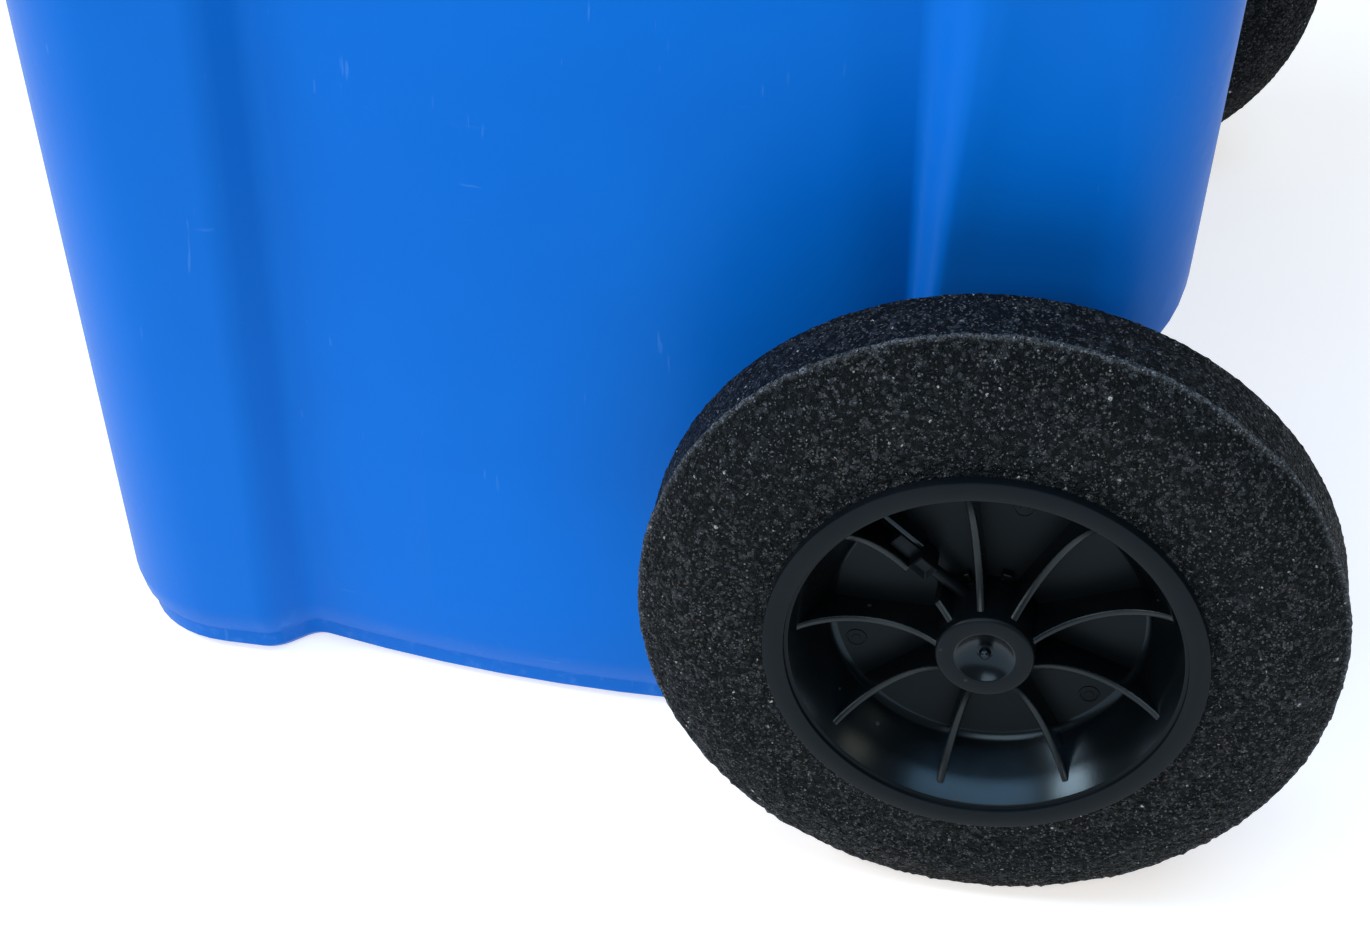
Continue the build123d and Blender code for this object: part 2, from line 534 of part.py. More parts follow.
# ---------------------------------------------------------------- wheels in place; the left one turned
wheel_parts = {"wheel_hub": hub, "tyre": tyre, "axle_latch": latch, "spacer_sleeve": sleeve}
finished = [body.part, lid.part, axle.part] + list(pins.values())
for side, hand, turn in ((-1, "left", 180), (1, "right", 0)):
    for name, pattern in wheel_parts.items():
        with BuildPart() as placed:
            with Locations(Location((side * HUB_FACE_X, AXLE_Y, AXLE_Z), (0, 0, turn))):
                add(pattern.part)
        placed.part.label = f"{name}_{hand}"
        finished.append(placed.part)

os.makedirs("parts", exist_ok=True)
for piece in finished:
    export_step(piece, f"parts/{piece.label}.step")
print("axle y", AXLE_Y, "hinge y", HINGE_Y, "hub face x", HUB_FACE_X, "latch angle", LATCH_ANGLE)
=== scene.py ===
"""Looks of a two-wheeled refuse bin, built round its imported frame.

Every length is in metres, in the frame's own axes: the ground is z = 0, the front faces -Y and the wheels
turn about an axis along X. Wheel pieces are modelled about their own X axis, with the flange's face at x = 0
and x pointing away from the bin, and are then moved to their place.
"""

import logging
import math
from dataclasses import dataclass
from enum import Enum
from typing import ClassVar, Iterable, Sequence, Union

import bmesh
import bpy
from mathutils import Matrix, Vector, noise


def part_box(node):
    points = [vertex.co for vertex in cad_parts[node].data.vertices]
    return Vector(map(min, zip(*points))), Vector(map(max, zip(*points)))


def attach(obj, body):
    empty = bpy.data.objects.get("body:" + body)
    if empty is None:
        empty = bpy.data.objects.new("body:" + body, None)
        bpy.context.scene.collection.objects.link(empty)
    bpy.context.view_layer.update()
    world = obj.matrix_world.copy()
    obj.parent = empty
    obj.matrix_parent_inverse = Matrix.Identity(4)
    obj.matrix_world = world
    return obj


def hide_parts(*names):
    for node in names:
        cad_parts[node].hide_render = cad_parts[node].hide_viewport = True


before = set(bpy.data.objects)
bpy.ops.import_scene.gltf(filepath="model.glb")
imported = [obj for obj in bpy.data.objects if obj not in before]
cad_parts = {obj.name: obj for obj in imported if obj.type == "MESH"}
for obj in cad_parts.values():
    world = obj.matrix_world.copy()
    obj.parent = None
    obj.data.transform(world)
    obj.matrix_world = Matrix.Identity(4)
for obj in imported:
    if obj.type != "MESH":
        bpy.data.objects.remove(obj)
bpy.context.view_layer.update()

LOG = logging.getLogger("refuse_bin")
MM = 0.001
FULL_TURN = 2 * math.pi
WELD = 1e-6

Pair = tuple[float, float]
Point = Pair
Number = Union[float, "Signal"]
Triple = tuple[float, float, float]
Colour = Triple


class Side(Enum):
    """The two sides of the bin, by the sign of x."""

    LEFT = -1
    RIGHT = 1

    @property
    def hand(self) -> str:
        """The word that ends the names of this side's pieces."""
        return self.name.lower()


# ------------------------------------------------------------------ finishes


class Signal:
    """A number that changes over a surface, and takes part in plain arithmetic."""

    def __init__(self, shader: "Shader", socket: bpy.types.NodeSocket) -> None:
        """Keeps the socket and the shader it belongs to."""
        self.shader = shader
        self.socket = socket

    def _math(self, operation: str, first: Number, second: Number) -> "Signal":
        """Adds a Math node.

        Args:
            operation: The node's operation.
            first: Its first value or signal.
            second: Its second value or signal.

        Returns:
            The node's result.
        """
        made = self.shader.node("ShaderNodeMath", {"operation": operation}, {0: first, 1: second})
        return Signal(self.shader, made.outputs[0])

    def __add__(self, other: Number) -> "Signal":
        """This plus another."""
        return self._math("ADD", self, other)

    def __radd__(self, other: Number) -> "Signal":
        """A number plus this."""
        return self._math("ADD", other, self)

    def __sub__(self, other: Number) -> "Signal":
        """This less another."""
        return self._math("SUBTRACT", self, other)

    def __rsub__(self, other: Number) -> "Signal":
        """A number less this."""
        return self._math("SUBTRACT", other, self)

    def __mul__(self, other: Number) -> "Signal":
        """This times another."""
        return self._math("MULTIPLY", self, other)

    def __rmul__(self, other: Number) -> "Signal":
        """A number times this."""
        return self._math("MULTIPLY", other, self)

    def __gt__(self, other: Number) -> "Signal":
        """1 where this is greater than another, otherwise 0."""
        return self._math("GREATER_THAN", self, other)

    def fade(self, start: float, end: float) -> "Signal":
        """Eases from 0 at one value to 1 at another.

        Args:
            start: Value of this signal where the result is 0.
            end: Value of this signal where the result is 1.

        Returns:
            The eased signal, from 0 to 1.
        """
        made = self.shader.node(
            "ShaderNodeMapRange",
            {"interpolation_type": "SMOOTHSTEP", "clamp": True},
            {"Value": self, "From Min": start, "From Max": end},
        )
        return Signal(self.shader, made.outputs[0])


class Shader:
    """The node tree of one finish."""

    def __init__(self, name: str) -> None:
        """Starts an empty tree with the surface's object coordinates.

        Args:
            name: The material's name.
        """
        self.material = bpy.data.materials.new(name)
        self.material.use_nodes = True
        self.tree = self.material.node_tree
        self.tree.nodes.clear()
        self.place = self.node("ShaderNodeTexCoord").outputs["Object"]

    def node(self, kind: str, settings: dict[str, object] | None = None,
             inputs: dict[str | int, object] | None = None) -> bpy.types.Node:
        """Adds a node.

        Args:
            kind: The node's type.
            settings: Its properties, set first.
            inputs: Values, sockets or signals for its input sockets, by name or number.

        Returns:
            The new node.
        """
        made = self.tree.nodes.new(kind)
        for name, value in (settings or {}).items():
            setattr(made, name, value)
        for key, value in (inputs or {}).items():
            source = value.socket if isinstance(value, Signal) else value
            if isinstance(source, bpy.types.NodeSocket):
                self.tree.links.new(source, made.inputs[key])
            else:
                made.inputs[key].default_value = source
        return made

    def mapped(self, scale: Triple, turn: Triple = (0, 0, 0)) -> bpy.types.NodeSocket:
        """The object's coordinates, stretched and turned.

        Args:
            scale: Scale along each axis.
            turn: Turn about each axis, in radians.

        Returns:
            The new coordinates.
        """
        made = self.node("ShaderNodeMapping", None, {"Vector": self.place, "Rotation": turn, "Scale": scale})
        return made.outputs[0]

    def axis(self, index: int) -> Signal:
        """One of the object's three coordinates."""
        made = self.node("ShaderNodeSeparateXYZ", None, {0: self.place})
        return Signal(self, made.outputs[index])

    def cloud(self, scale: float, detail: float = 3.0, roughness: float = 0.5,
              at: bpy.types.NodeSocket | None = None) -> Signal:
        """Soft noise from 0 to 1.

        Args:
            scale: Patches per metre.
            detail: How many finer layers it has.
            roughness: How strong the finer layers are.
            at: Coordinates, the object's own if left out.

        Returns:
            The noise.
        """
        made = self.node("ShaderNodeTexNoise", None,
                         {"Vector": at or self.place, "Scale": scale, "Detail": detail, "Roughness": roughness})
        return Signal(self, made.outputs[0])

    def cells(self, scale: float, at: bpy.types.NodeSocket | None = None) -> tuple[Signal, Signal]:
        """A field of irregular cells.

        Args:
            scale: Cells per metre.
            at: Coordinates, the object's own if left out.

        Returns:
            The distance from a cell's middle, and a number from 0 to 1 that is the same all over a cell.
        """
        made = self.node("ShaderNodeTexVoronoi", None, {"Vector": at or self.place, "Scale": scale})
        parts = self.node("ShaderNodeSeparateColor", None, {0: made.outputs["Color"]})
        return Signal(self, made.outputs[0]), Signal(self, parts.outputs[0])

    def blend(self, share: Signal, low: Colour | bpy.types.NodeSocket,
              high: Colour | bpy.types.NodeSocket) -> bpy.types.NodeSocket:
        """Mixes two colours.

        Args:
            share: 0 for the first colour, 1 for the second.
            low: The first colour.
            high: The second colour.

        Returns:
            The mixed colour.
        """
        ends = [(*end, 1.0) if isinstance(end, tuple) else end for end in (low, high)]
        made = self.node("ShaderNodeMix", {"data_type": "RGBA", "clamp_factor": True},
                         {0: share, 6: ends[0], 7: ends[1]})
        return made.outputs[2]

    def bump(self, height: Signal, strength: float, distance: float,
             below: bpy.types.NodeSocket | None = None) -> bpy.types.NodeSocket:
        """Turns a height into a bumped normal.

        Args:
            height: The height, from 0 to 1.
            strength: How much of the bump is seen.
            distance: Height of the bump in metres.
            below: A normal that this one is laid over.

        Returns:
            The normal.
        """
        inputs: dict[str | int, object] = {"Height": height, "Strength": strength, "Distance": distance}
        if below is not None:
            inputs["Normal"] = below
        return self.node("ShaderNodeBump", None, inputs).outputs[0]

    def close(self, **inputs: object) -> bpy.types.Material:
        """Joins everything to a Principled surface.

        Args:
            inputs: Its sockets by name, with _ for a space.

        Returns:
            The finished material.
        """
        named = {}
        for key, value in inputs.items():
            is_colour = isinstance(value, tuple) and len(value) == 3
            named[key.replace("_", " ")] = (*value, 1.0) if is_colour else value
        surface = self.node("ShaderNodeBsdfPrincipled", None, named)
        self.node("ShaderNodeOutputMaterial", None, {"Surface": surface.outputs[0]})
        return self.material


@dataclass(frozen=True)
class MouldedBlue:
    """Satin high-density polyethylene, dyed through, with faint scuffs."""

    name: str = "moulded_blue"
    deep: Colour = (0.0, 0.111, 0.485)
    light: Colour = (0.0, 0.126, 0.53)
    scuff: Colour = (0.13, 0.30, 0.72)
    # Painted reflection tint: the plastic's reflections are tinted blue.
    sheen: Colour = (0.35, 0.75, 1.0)
    roughness: float = 0.42
    ground_band: float = 0.024

    def make(self) -> bpy.types.Material:
        """The material."""
        shader = Shader(self.name)
        drift = shader.cloud(7.0, 4.0)
        peel = shader.cloud(420.0, 2.0)
        streak_place = shader.mapped(scale=(1, 1, 0.12), turn=(0.5, 0, 0))
        streaks = shader.cloud(520.0, 1.0, at=streak_place).fade(0.735, 0.775) * shader.cloud(24.0).fade(0.5, 0.62)
        crossed_place = shader.mapped(scale=(1, 0.1, 1), turn=(-0.9, 0, 0.2))
        crossed = shader.cloud(430.0, 1.0, at=crossed_place).fade(0.75, 0.79) * shader.cloud(17.0).fade(0.52, 0.62)
        distance, pick = shader.cells(95.0)
        specks = (pick > 0.985) * (1 - distance.fade(0.04, 0.075))
        foot = 1 - shader.axis(2).fade(0.004, self.ground_band)
        rub = foot * shader.cloud(160.0, 5.0, 0.7).fade(0.52, 0.72)
        marks = streaks * 0.16 + crossed * 0.12 + specks * 0.4 + rub * 0.22
        body = shader.blend(drift.fade(0.3, 0.7), self.deep, self.light)
        colour = shader.blend(marks, body, self.scuff)
        rough = self.roughness + (drift - 0.5) * 0.10 + marks * 0.18 + (peel - 0.5) * 0.05
        wave = shader.bump(shader.cloud(34.0, 2.0), 0.22, 0.0012)
        skin = shader.bump(peel - marks * 0.8, 0.10, 0.00025, wave)
        return shader.close(Base_Color=colour, Roughness=rough, IOR=1.46, Normal=skin,
                            Specular_IOR_Level=0.14, Specular_Tint=self.sheen)


@dataclass(frozen=True)
class BlackPlastic:
    """Black moulded polypropylene, from satin to high gloss."""

    name: str
    base: Colour
    dust: Colour
    roughness: float
    grain: float
    haze: float
    ior: float
    shine: float
    # Painted reflection tint: the reflections are tinted a cool blue, standing in for reflected sky.
    sheen: Colour

    def make(self) -> bpy.types.Material:
        """The material."""
        shader = Shader(self.name)
        flow = shader.cloud(60.0, 4.0, 0.6)
        fine = shader.cloud(900.0, 2.0)
        distance, pick = shader.cells(260.0)
        dust = (pick > 0.965) * (1 - distance.fade(0.10, 0.22))
        film = shader.cloud(38.0, 5.0, 0.65).fade(0.45, 0.8)
        colour = shader.blend(dust * 0.7 + film * self.haze, self.base, self.dust)
        rough = self.roughness + (flow - 0.5) * 0.10 + film * self.haze + dust * 0.3
        wave = shader.bump(flow, 0.10, 0.0006)
        skin = shader.bump(fine, self.grain, 0.0002, wave)
        return shader.close(Base_Color=colour, Roughness=rough, IOR=self.ior, Normal=skin,
                            Specular_IOR_Level=self.shine, Specular_Tint=self.sheen)


@dataclass(frozen=True)
class CrumbRubber:
    """Bonded rubber granules: near-black shards with grey, brown and a few white flecks. The grey granules and
    bright shards are partly painted glints, a painted highlight runs along the mould ridge, and the reflections get
    a painted blue tint.
    """

    name: str = "crumb_rubber"
    dark: Colour = (0.0008, 0.0009, 0.0011)
    grey: Colour = (0.200, 0.222, 0.245)
    brown: Colour = (0.058, 0.049, 0.043)
    pale: Colour = (0.50, 0.49, 0.46)
    # Painted reflection tint: the reflections are tinted a cool blue, standing in for reflected sky.
    sheen: Colour = (0.78, 0.94, 1.0)
    granules: float = 680.0

    def make(self) -> bpy.types.Material:
        """The material."""
        shader = Shader(self.name)
        warp = shader.node("ShaderNodeVectorMath", {"operation": "MULTIPLY_ADD"},
                           {0: shader.node("ShaderNodeTexNoise", None,
                                           {"Vector": shader.place, "Scale": 900.0}).outputs[1],
                            1: (0.0011, 0.0011, 0.0011), 2: shader.place}).outputs[0]
        distance, pick = shader.cells(self.granules, at=warp)
        small_distance, small_pick = shader.cells(self.granules * 2.4, at=warp)
        # Lighter grey granules and small bright shards: partly the crumb's own grey, partly painted glints on lit
        # facets.
        shards = small_pick.fade(0.74, 0.98) * (1 - small_distance.fade(0.25, 0.65))
        lit = pick.fade(0.55, 1.2) * 0.22 + shards * 0.85
        patches = shader.cloud(30.0, 4.0)
        # The tyre's ridge share lightens the colour along the mould ridge: a painted highlight.
        ridge = Signal(shader, shader.node("ShaderNodeAttribute", {"attribute_name": Tyre.RIDGE}).outputs["Fac"])
        tone_and_painted_highlights = shader.blend(lit * (0.2 + patches) + ridge * (0.12 + 0.5 * small_pick), self.dark, self.grey)
        browned = shader.blend((small_pick > 0.9) * patches.fade(0.42, 0.6) * 0.8, tone_and_painted_highlights, self.brown)
        sparse = shader.cloud(55.0, 2.0).fade(0.5, 0.62)
        flecks = (pick > 0.994) * (1 - distance.fade(0.2, 0.5)) * sparse + (small_pick > 0.998) * 0.5
        colour = shader.blend(flecks, browned, self.pale)
        gap = distance.fade(0.35, 0.75)
        rough = 0.62 - lit * 0.28 + gap * 0.18 + flecks * 0.1
        coarse = shader.bump(1 - distance * 1.1, 1.0, 0.0016)
        sharp = shader.bump(pick * 0.9 + (1 - small_distance) * 0.6, 1.0, 0.0010, coarse)
        return shader.close(Base_Color=colour, Roughness=rough, IOR=1.45, Normal=sharp,
                            Specular_IOR_Level=0.18, Specular_Tint=self.sheen)


@dataclass(frozen=True)
class ZincPlate:
    """Steel with a dull zinc plating."""

    name: str = "zinc_plate"
    bright: Colour = (0.62, 0.62, 0.60)
    dull: Colour = (0.36, 0.36, 0.355)

    def make(self) -> bpy.types.Material:
        """The material."""
        shader = Shader(self.name)
        brushed = shader.cloud(700.0, 3.0, at=shader.mapped(scale=(0.05, 1, 1)))
        _, flake = shader.cells(240.0)
        tarnish = shader.cloud(45.0, 5.0, 0.65)
        share = tarnish.fade(0.35, 0.7) * 0.55 + flake * 0.25 + brushed * 0.2
        colour = shader.blend(share, self.bright, self.dull)
        rough = 0.24 + brushed * 0.14 + tarnish * 0.16
        skin = shader.bump(brushed, 0.2, 0.0001)
        return shader.close(Base_Color=colour, Roughness=rough, Metallic=0.95, Normal=skin)


@dataclass(frozen=True)
class PaleFloor:
    """Plain pale floor."""

    name: str = "pale_floor"
    base: Colour = (0.64, 0.63, 0.62)
    lit: Colour = (1.0, 0.97, 0.94)
    glow: float = 0.60

    def make(self) -> bpy.types.Material:
        """The material."""
        shader = Shader(self.name)
        tone = shader.cloud(3.0)
        colour = shader.blend(tone, self.base, tuple(0.99 * part for part in self.base))
        return shader.close(Base_Color=colour, Roughness=0.85, Specular_IOR_Level=0.2,
                            Emission_Color=self.lit, Emission_Strength=self.glow)


class Finishes:
    """The bin's materials, one of each."""

    def __init__(self) -> None:
        """Makes them all."""
        self.blue = MouldedBlue().make()
        self.gloss = BlackPlastic("gloss_black", base=(0.0012, 0.0019, 0.0024), dust=(0.03, 0.03, 0.032),
                                  roughness=0.23, grain=0.03, haze=0.04, ior=1.40, shine=0.40,
                                  sheen=(0.58, 0.82, 1.0)).make()
        self.satin = BlackPlastic("satin_black", base=(0.0018, 0.0030, 0.0042), dust=(0.03, 0.033, 0.036),
                                  roughness=0.38, grain=0.08, haze=0.05, ior=1.36, shine=0.20,
                                  sheen=(0.76, 0.92, 1.0)).make()
        # A lighter black for the rib tops: its base, dust and haze are lighter, a painted highlight along the rib
        # tops.
        self.worn = BlackPlastic("painted_highlight_black", base=(0.003, 0.0045, 0.0055), dust=(0.09, 0.10, 0.10),
                                 roughness=0.30, grain=0.30, haze=0.12, ior=1.42, shine=0.34,
                                 sheen=(0.8, 0.95, 1.0)).make()
        self.rubber = CrumbRubber().make()
        self.zinc = ZincPlate().make()
        self.floor = PaleFloor().make()


# ------------------------------------------------------------------ mesh work


def chain(bm: bmesh.types.BMesh, points: Iterable[Point]) -> list[bmesh.types.BMEdge]:
    """Joins points of an (x, radius) profile by edges.

    Args:
        bm: The mesh they are added to.
        points: The profile's points, in order.

    Returns:
        The new edges.
    """
    verts = [bm.verts.new((x, radius, 0.0)) for x, radius in points]
    return [bm.edges.new(pair) for pair in zip(verts, verts[1:])]


def arc(start: Point, middle: Point, end: Point, count: int) -> list[Point]:
    """Points on the circle through three points.

    Args:
        start: First point.
        middle: A point between.
        end: Last point.
        count: Number of steps.

    Returns:
        The points, both ends included.
    """
    (ax, ay), (bx, by), (cx, cy) = start, middle, end
    twice = 2 * (ax * (by - cy) + bx * (cy - ay) + cx * (ay - by))
    squares = [x * x + y * y for x, y in (start, middle, end)]
    ux = (squares[0] * (by - cy) + squares[1] * (cy - ay) + squares[2] * (ay - by)) / twice
    uy = (squares[0] * (cx - bx) + squares[1] * (ax - cx) + squares[2] * (bx - ax)) / twice
    radius = math.hypot(ax - ux, ay - uy)
    first, mid, last = (math.atan2(y - uy, x - ux) for x, y in (start, middle, end))
    sweep = (last - first) % FULL_TURN
    if (mid - first) % FULL_TURN > sweep:
        sweep -= FULL_TURN
    return [(ux + radius * math.cos(first + sweep * k / count), uy + radius * math.sin(first + sweep * k / count))
            for k in range(count + 1)]


def spaced(points: Sequence[Point], step: float) -> list[Point]:
    """Divides a profile's runs so that none is longer than a step.

    Args:
        points: The profile.
        step: Longest run.

    Returns:
        The finer profile.
    """
    fine = [points[0]]
    for (ax, ay), (bx, by) in zip(points, points[1:]):
        count = max(1, math.ceil(math.hypot(bx - ax, by - ay) / step))
        fine += [(ax + (bx - ax) * k / count, ay + (by - ay) * k / count) for k in range(1, count + 1)]
    return fine


def turned(bm: bmesh.types.BMesh, points: Sequence[Point], steps: int) -> None:
    """Turns a profile all round the X axis.

    Args:
        bm: The mesh it is added to.
        points: The (x, radius) profile.
        steps: Number of steps round.
    """
    edges = chain(bm, points)
    verts = dict.fromkeys(vert for edge in edges for vert in edge.verts)
    bmesh.ops.spin(bm, geom=[*verts, *edges], cent=(0, 0, 0), axis=(1, 0, 0), angle=FULL_TURN, steps=steps,
                   use_merge=True, use_duplicate=False)
    bmesh.ops.remove_doubles(bm, verts=bm.verts, dist=WELD)
    bmesh.ops.recalc_face_normals(bm, faces=bm.faces)


def spin_verts(bm: bmesh.types.BMesh, degrees: float) -> None:
    """Turns a whole mesh about the X axis by an angle in degrees."""
    bmesh.ops.rotate(bm, cent=(0, 0, 0), matrix=Matrix.Rotation(math.radians(degrees), 3, "X"), verts=bm.verts)


def round_edges(bm: bmesh.types.BMesh, edges: Iterable[bmesh.types.BMEdge], offset: float,
                segments: int = 2) -> None:
    """Rounds edges.

    Args:
        bm: The mesh.
        edges: Edges to round.
        offset: Width of the rounding.
        segments: Facets across it.
    """
    bmesh.ops.bevel(bm, geom=list(edges), offset=offset, offset_type="OFFSET", affect="EDGES",
                    segments=segments, profile=0.5, material=-1, clamp_overlap=True)


def sharp(bm: bmesh.types.BMesh, least: float) -> list[bmesh.types.BMEdge]:
    """Edges that turn by more than an angle, in radians."""
    return [edge for edge in bm.edges if edge.is_manifold and edge.calc_face_angle(0.0) > least]


def slab(bm: bmesh.types.BMesh, outline: Sequence[Point], thickness: float) -> list[bmesh.types.BMVert]:
    """A flat plate whose outline is drawn on x and radius, centred on the plane between its faces.

    Args:
        bm: The mesh it is added to.
        outline: The outline's (x, radius) points.
        thickness: Its thickness.

    Returns:
        Its vertices.
    """
    verts = [bm.verts.new((x, radius, -thickness / 2)) for x, radius in outline]
    face = bm.faces.new(verts)
    raised = bmesh.ops.extrude_face_region(bm, geom=[face])["geom"]
    top = [item for item in raised if isinstance(item, bmesh.types.BMVert)]
    bmesh.ops.translate(bm, vec=(0, 0, thickness), verts=top)
    return verts + top


def block(bm: bmesh.types.BMesh, size: Triple, centre: Triple) -> list[bmesh.types.BMVert]:
    """A box of a given size and centre.

    Args:
        bm: The mesh it is added to.
        size: Its size along each axis.
        centre: Its centre.

    Returns:
        Its vertices.
    """
    matrix = Matrix.Translation(centre) @ Matrix.Diagonal((*size, 1.0))
    return bmesh.ops.create_cube(bm, size=1.0, matrix=matrix)["verts"]


def piece(bm: bmesh.types.BMesh, name: str, materials: Sequence[bpy.types.Material], body: str,
          stands_for: Sequence[str] = (), soft_angle: float = 0.6) -> bpy.types.Object:
    """Makes an object of a mesh and hangs it on a body.

    Args:
        bm: The mesh, which is freed.
        name: The object's name.
        materials: Its materials, in the order of the faces' numbers.
        body: The body that it moves with.
        stands_for: CAD nodes that it replaces.
        soft_angle: Edges that turn by more than this stay sharp, in radians.

    Returns:
        The object.
    """
    for face in bm.faces:
        face.smooth = True
    for edge in bm.edges:
        edge.smooth = edge.calc_face_angle(0.0) < soft_angle
    mesh = bpy.data.meshes.new(name)
    bm.to_mesh(mesh)
    bm.free()
    for material in materials:
        mesh.materials.append(material)
    made = bpy.data.objects.new(name, mesh)
    bpy.context.scene.collection.objects.link(made)
    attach(made, body)
    if stands_for:
        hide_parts(*stands_for)
    LOG.info("%s: %d faces on %s", name, len(mesh.polygons), body)
    return made


def dress(node: str, material: bpy.types.Material) -> None:
    """Gives a CAD node its finish.

    Args:
        node: The node's name.
        material: The finish.
    """
    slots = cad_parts[node].data.materials
    slots.clear()
    slots.append(material)
    LOG.info("%s: dressed in %s", node, material.name)


# ------------------------------------------------------------------ wheels


@dataclass
class WheelPlace:
    """Where a wheel sits, and how its own frame turns to get there."""

    side: Side

    @property
    def matrix(self) -> Matrix:
        """From the wheel's own frame to its place on the bin."""
        low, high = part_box(f"wheel_hub_{self.side.hand}")
        face_x = high.x if self.side is Side.RIGHT else low.x
        centre = Vector((face_x, (low.y + high.y) / 2, (low.z + high.z) / 2))
        turn = Matrix.Rotation(0.0 if self.side is Side.RIGHT else math.pi, 4, "Z")
        return Matrix.Translation(centre) @ turn


@dataclass
class Tyre:
    """Solid tyre of bonded granules, with a mould ridge where its outer shoulder meets the tread.

    A wave is how fast it changes round the ring, and how far it moves the ridge; breaks is how fast the ridge's
    strength changes, and by how much.
    """

    RIDGE: ClassVar[str] = "ridge"
    place: WheelPlace
    tread_r: float = 100 * MM
    drum_r: float = 56.2 * MM
    lip_r: float = 62.6 * MM
    outer_x: float = -3.6 * MM
    inner_x: float = -46.4 * MM
    lip_edge: float = 0.4 * MM
    side_r: float = 76 * MM
    side_inset: float = 1.2 * MM
    shoulder: float = 11 * MM
    shoulder_middle: Point = (4.6 * MM, 8 * MM)
    shoulder_steps: int = 24
    spacing: float = 0.98 * MM
    steps: int = 470
    grain: float = 0.62 * MM
    granules: float = 560.0
    coarseness: float = 330.0
    behind_ridge: float = 0.6
    ridge_x: float = -15 * MM
    ridge_height: float = 1.0 * MM
    ridge_width: float = 0.62 * MM
    ridge_spacing: float = 0.4 * MM
    ridge_reach: float = 3 * MM
    ridge_zone: float = 6 * MM
    long_wave: Pair = (3.1, 0.9 * MM)
    short_wave: Pair = (21.0, 0.4 * MM)
    breaks: Pair = (60.0, 0.3)
    strength: float = 0.82

    def profile(self) -> list[Point]:
        """The tyre's section, from the drum out to the tread and back."""
        r = self.tread_r - self.grain - self.ridge_height / 2
        out, inn = self.outer_x - self.grain, self.inner_x + self.grain
        outer = self.shoulder_arc(out, -1, r)
        inner = self.shoulder_arc(inn, 1, r)[::-1]
        points = [(self.outer_x, self.drum_r), (self.outer_x, self.lip_r - self.lip_edge), (out, self.lip_r)]
        near, far = self.ridge_x + self.ridge_reach, self.ridge_x - self.ridge_reach
        points += [*outer, *((x, r) for x in (near, far) if x < outer[-1][0]), *inner]
        points += [(inn, self.lip_r), (self.inner_x, self.drum_r)]
        even = spaced(points, self.spacing)
        fine = []
        for start, end in zip(even, even[1:]):
            is_near = far < (start[0] + end[0]) / 2 < near and start[1] > self.tread_r - self.ridge_zone
            fine += spaced([start, end], self.ridge_spacing if is_near else self.spacing)[:-1]
        return [*fine, even[-1]]

    def shoulder_arc(self, face_x: float, inward: int, radius: float) -> list[Point]:
        """The rounded shoulder, from the side to the tread.

        Args:
            face_x: Depth of the side's face.
            inward: Sign of x towards the middle of the tyre.
            radius: Radius of the tread.

        Returns:
            Its points.
        """
        middle_x, drop = self.shoulder_middle
        return arc((face_x + inward * self.side_inset, self.side_r), (face_x + inward * middle_x, radius - drop),
                   (face_x + inward * self.shoulder, radius), self.shoulder_steps)

    def crumbs(self, at: Vector) -> float:
        """How far the granules stand out at a point."""
        radius = math.hypot(at.y, at.z)
        near, _ = noise.voronoi(at * self.granules)
        crumb = min(near[1] - near[0], 0.5) * 2
        rough = 0.5 + 0.5 * noise.noise(at * self.coarseness)
        cover = min(max((radius - self.lip_r) / (2 * MM), 0.0), 1.0)
        behind = 1.0 if at.x > self.ridge_x else self.behind_ridge
        return self.grain * cover * behind * (0.8 * crumb + 0.2 * rough)

    def ridge(self, at: Vector) -> float:
        """Share of the ridge's height at a point; the ridge wanders and breaks up a little."""
        if math.hypot(at.y, at.z) < self.tread_r - self.ridge_zone:
            return 0.0
        angle = math.atan2(at.z, at.y)
        ring = Vector((math.cos(angle), math.sin(angle), 0.0))
        wander = sum(noise.noise(ring * scale) * reach for scale, reach in (self.long_wave, self.short_wave))
        strength = self.strength + self.breaks[1] * noise.noise(ring * self.breaks[0] + Vector((0, 0, 4)))
        offset = (at.x - self.ridge_x - wander) / self.ridge_width
        return max(strength, 0.0) * math.exp(-offset * offset)

    def build(self, finishes: Finishes) -> bpy.types.Object:
        """The tyre's object."""
        bm = bmesh.new()
        turned(bm, self.profile(), self.steps)
        bm.normal_update()
        # The ridge's height share is kept on the mesh: it raises the ridge, and the rubber finish reads it as a
        # painted highlight along the ridge.
        mark = bm.verts.layers.float.new(self.RIDGE)
        for vert in bm.verts:
            vert[mark] = self.ridge(vert.co)
        moves = [(vert, vert.normal * (self.crumbs(vert.co) + self.ridge_height * vert[mark]))
                 for vert in bm.verts]
        for vert, move in moves:
            vert.co += move
            radius = math.hypot(vert.co.y, vert.co.z)
            if radius > self.tread_r:
                vert.co.yz = Vector(vert.co.yz) * (self.tread_r / radius)
        bmesh.ops.transform(bm, matrix=self.place.matrix, verts=bm.verts)
        hand = self.place.side.hand
        return piece(bm, f"granulated_tyre_{hand}", [finishes.rubber], f"wheel_{hand}",
                     [f"tyre_{hand}"], soft_angle=math.pi)


